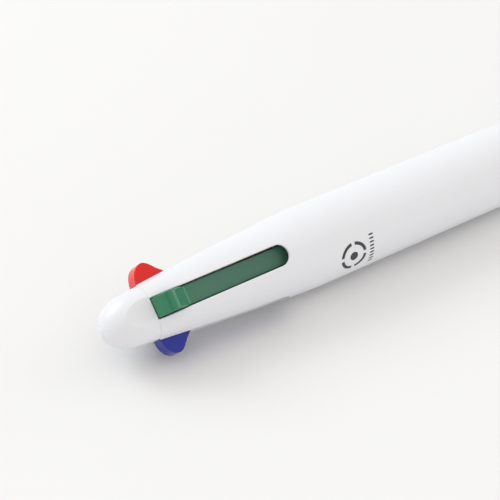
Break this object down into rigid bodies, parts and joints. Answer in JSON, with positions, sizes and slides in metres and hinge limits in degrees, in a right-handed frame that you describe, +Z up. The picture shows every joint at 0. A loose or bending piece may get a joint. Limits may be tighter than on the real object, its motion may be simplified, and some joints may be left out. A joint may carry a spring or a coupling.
{
  "type": "multicolor click pen",
  "caption": "Retractable ballpoint pen with a coloured slider for each ink round the rear of a white barrel, a domed end cap and a pocket clip.",
  "frame": {"origin": "middle of the bottom of the pen's box, on the surface that the pen lies on", "axes": "+X along the pen from the end cap to the writing tip, +Z up; the green slider points 50 degrees above -Y"},
  "size_m": [0.145, 0.0143, 0.0125],
  "materials": {
    "white_abs": "smooth moulded gloss",
    "natural_plastic": "satin",
    "spring_steel": "drawn wire",
    "refill_tube": "translucent extruded",
    "nickel_silver": "turned",
    "ball_steel": "polished",
    "green_plastic": "moulded gloss",
    "red_plastic": "moulded gloss",
    "black_plastic": "moulded gloss",
    "blue_plastic": "moulded gloss",
    "green_ink": "liquid",
    "red_ink": "liquid",
    "black_ink": "liquid",
    "blue_ink": "liquid"
  },
  "bodies": {
    "pen_body": {"end_cap": "white_abs", "upper_barrel": "white_abs", "refill_guide": "natural_plastic", "threaded_coupler": "natural_plastic", "green_spring": "spring_steel", "red_spring": "spring_steel", "black_spring": "spring_steel", "blue_spring": "spring_steel"},
    "lower_body": {"lower_barrel": "white_abs", "nose_cone": "white_abs"},
    "clip": {"clip": "white_abs"},
    "green_slider": {"green_slider": "green_plastic"},
    "green_refill": {"green_refill_tube": "refill_tube", "green_refill_ink": "green_ink", "green_refill_tip": "nickel_silver", "green_refill_ball": "ball_steel"},
    "red_slider": {"red_slider": "red_plastic"},
    "red_refill": {"red_refill_tube": "refill_tube", "red_refill_ink": "red_ink", "red_refill_tip": "nickel_silver", "red_refill_ball": "ball_steel"},
    "black_slider": {"black_slider": "black_plastic"},
    "black_refill": {"black_refill_tube": "refill_tube", "black_refill_ink": "black_ink", "black_refill_tip": "nickel_silver", "black_refill_ball": "ball_steel"},
    "blue_slider": {"blue_slider": "blue_plastic"},
    "blue_refill": {"blue_refill_tube": "refill_tube", "blue_refill_ink": "blue_ink", "blue_refill_tip": "nickel_silver", "blue_refill_ball": "ball_steel"}
  },
  "joints": [
    {"name": "green_slide", "type": "slide", "parent": "pen_body", "child": "green_slider", "axis": [1, 0, 0], "range_m": [0, 0.011], "stiffness_N_per_m": 110, "springref_m": -0.004, "deforming": ["green_spring"]},
    {"name": "green_refill_bend", "type": "hinge", "parent": "green_slider", "child": "green_refill", "pos_m": [-0.0288, -0.0025, 0.00813], "axis": [0, 0.766, 0.6428], "range_deg": [0, 1.6], "deforming": ["green_refill_tube", "green_refill_ink", "green_refill_tip", "green_refill_ball"]},
    {"name": "red_slide", "type": "slide", "parent": "pen_body", "child": "red_slider", "axis": [1, 0, 0], "range_m": [0, 0.011], "stiffness_N_per_m": 110, "springref_m": -0.004, "deforming": ["red_spring"]},
    {"name": "red_refill_bend", "type": "hinge", "parent": "red_slider", "child": "red_refill", "pos_m": [-0.0288, 0.00095, 0.00782], "axis": [0, 0.6428, -0.766], "range_deg": [0, 1.6], "deforming": ["red_refill_tube", "red_refill_ink", "red_refill_tip", "red_refill_ball"]},
    {"name": "black_slide", "type": "slide", "parent": "pen_body", "child": "black_slider", "axis": [1, 0, 0], "range_m": [0, 0.011], "stiffness_N_per_m": 110, "springref_m": -0.004, "deforming": ["black_spring"]},
    {"name": "black_refill_bend", "type": "hinge", "parent": "black_slider", "child": "black_refill", "pos_m": [-0.0288, 0.00065, 0.00437], "axis": [0, -0.766, -0.6428], "range_deg": [0, 1.6], "deforming": ["black_refill_tube", "black_refill_ink", "black_refill_tip", "black_refill_ball"]},
    {"name": "blue_slide", "type": "slide", "parent": "pen_body", "child": "blue_slider", "axis": [1, 0, 0], "range_m": [0, 0.011], "stiffness_N_per_m": 110, "springref_m": -0.004, "deforming": ["blue_spring"]},
    {"name": "blue_refill_bend", "type": "hinge", "parent": "blue_slider", "child": "blue_refill", "pos_m": [-0.0288, -0.0028, 0.00468], "axis": [0, -0.6428, 0.766], "range_deg": [0, 1.6], "deforming": ["blue_refill_tube", "blue_refill_ink", "blue_refill_tip", "blue_refill_ball"]},
    {"name": "clip_flex", "type": "hinge", "parent": "pen_body", "child": "clip", "pos_m": [-0.0418, 0.00536, 0.0057], "axis": [0, 0.0872, 0.9962], "range_deg": [0, 4], "stiffness_Nm_per_rad": 0.8},
    {"name": "lower_barrel_unscrew", "type": "hinge", "parent": "pen_body", "child": "lower_body", "pos_m": [0.0047, -0.00093, 0.00625], "axis": [1, 0, 0], "continuous": true}
  ],
  "couplings": [
    {"joint": "green_refill_bend", "follows": "green_slide", "rad_per_m": 2.3949},
    {"joint": "red_refill_bend", "follows": "red_slide", "rad_per_m": 2.3949},
    {"joint": "black_refill_bend", "follows": "black_slide", "rad_per_m": 2.3949},
    {"joint": "blue_refill_bend", "follows": "blue_slide", "rad_per_m": 2.3949}
  ]
}
